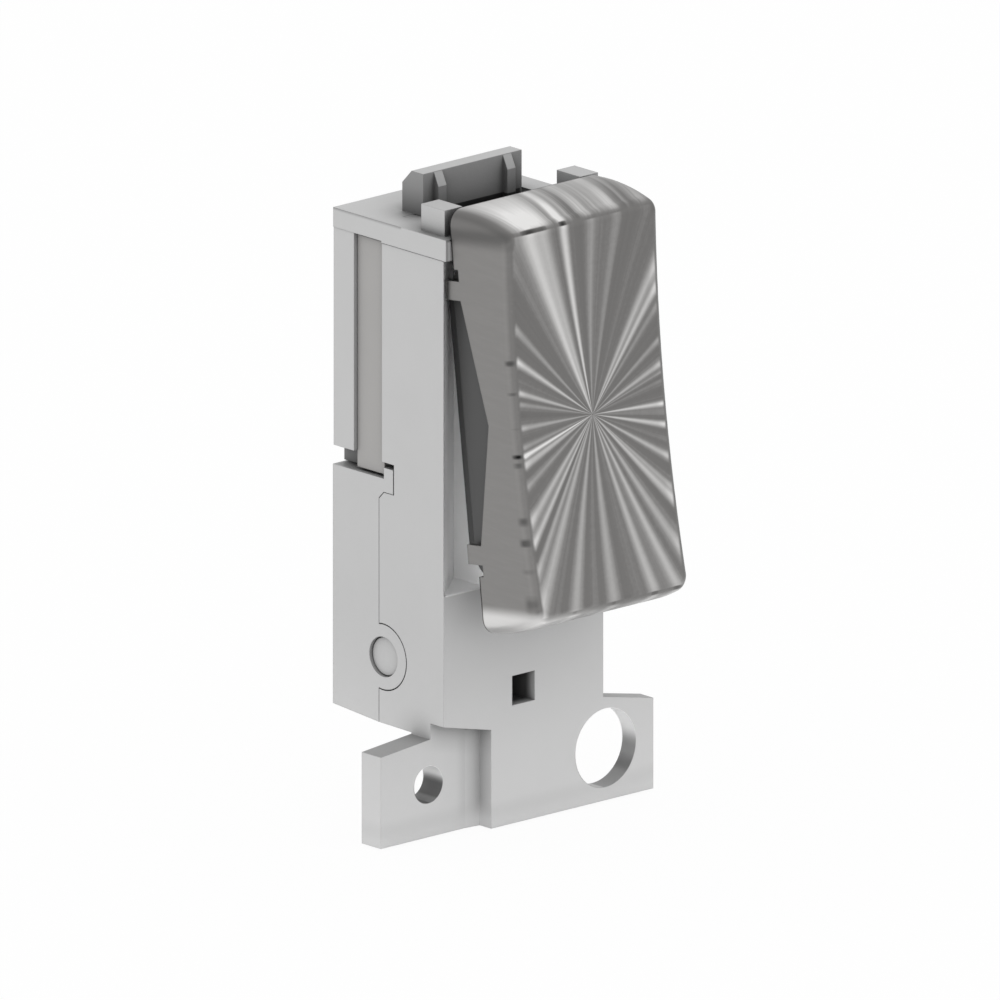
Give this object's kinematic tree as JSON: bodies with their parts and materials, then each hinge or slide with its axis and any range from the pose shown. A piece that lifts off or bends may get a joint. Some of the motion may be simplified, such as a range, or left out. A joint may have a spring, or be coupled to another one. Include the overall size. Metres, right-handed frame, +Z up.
{
  "type": "grid switch module",
  "caption": "Single rocker switch module with a dished, radially brushed metal rocker on a slim grey moulded body with a top hook and two overlapping fixing lugs.",
  "frame": {"origin": "centre of the small fixing hole, on the front face of the left lug", "axes": "+X to the right seen from the front, +Y back into the wall along the fixing screw, +Z up along the module"},
  "size_m": [0.0293, 0.025, 0.0558],
  "materials": {
    "housing_plastic": "fine satin moulded",
    "insert_plastic": "satin moulded, warm grey",
    "carrier_plastic": "satin moulded, dark grey",
    "plunger_plastic": "smooth moulded, off-white",
    "brushed_metal": "brushed in rays from the middle of the face",
    "brass": "stamped and tumbled",
    "contact_silver": "bright",
    "screw_steel": "zinc plated",
    "spring_steel": "drawn wire"
  },
  "bodies": {
    "housing": {"front_housing": "housing_plastic", "rear_top_cover": "housing_plastic", "rear_bottom_cover": "housing_plastic", "cover_pins": "housing_plastic", "contact_block": "insert_plastic", "common_terminal": "brass", "lower_throw_terminal": "brass", "upper_throw_terminal": "brass", "terminal_screws": "screw_steel", "common_strip": "brass", "lower_throw_strip": "brass", "upper_throw_strip": "brass", "lower_fixed_contact": "contact_silver", "upper_fixed_contact": "contact_silver"},
    "rocker": {"rocker_cap": "brushed_metal", "rocker_carrier": "carrier_plastic", "plunger_spring": "spring_steel"},
    "plunger": {"plunger": "plunger_plastic"},
    "lever": {"contact_lever": "brass", "moving_contacts": "contact_silver"}
  },
  "joints": [
    {"name": "rocker_tilt", "type": "hinge", "parent": "housing", "child": "rocker", "pos_m": [0.00925, -0.00403, 0.03205], "axis": [1, 0, 0], "range_deg": [0, 14]},
    {"name": "lever_rock", "type": "hinge", "parent": "housing", "child": "lever", "pos_m": [0.00925, 0.00592, 0.03205], "axis": [1, 0, 0], "range_deg": [-16, 0]},
    {"name": "plunger_slide", "type": "slide", "parent": "rocker", "child": "plunger", "axis": [0, -0.9925, 0.1219], "range_m": [0, 0.0006], "stiffness_N_per_m": 600, "deforming": ["plunger_spring"]}
  ],
  "couplings": [
    {"joint": "lever_rock", "follows": "rocker_tilt", "ratio": -1.1429}
  ]
}
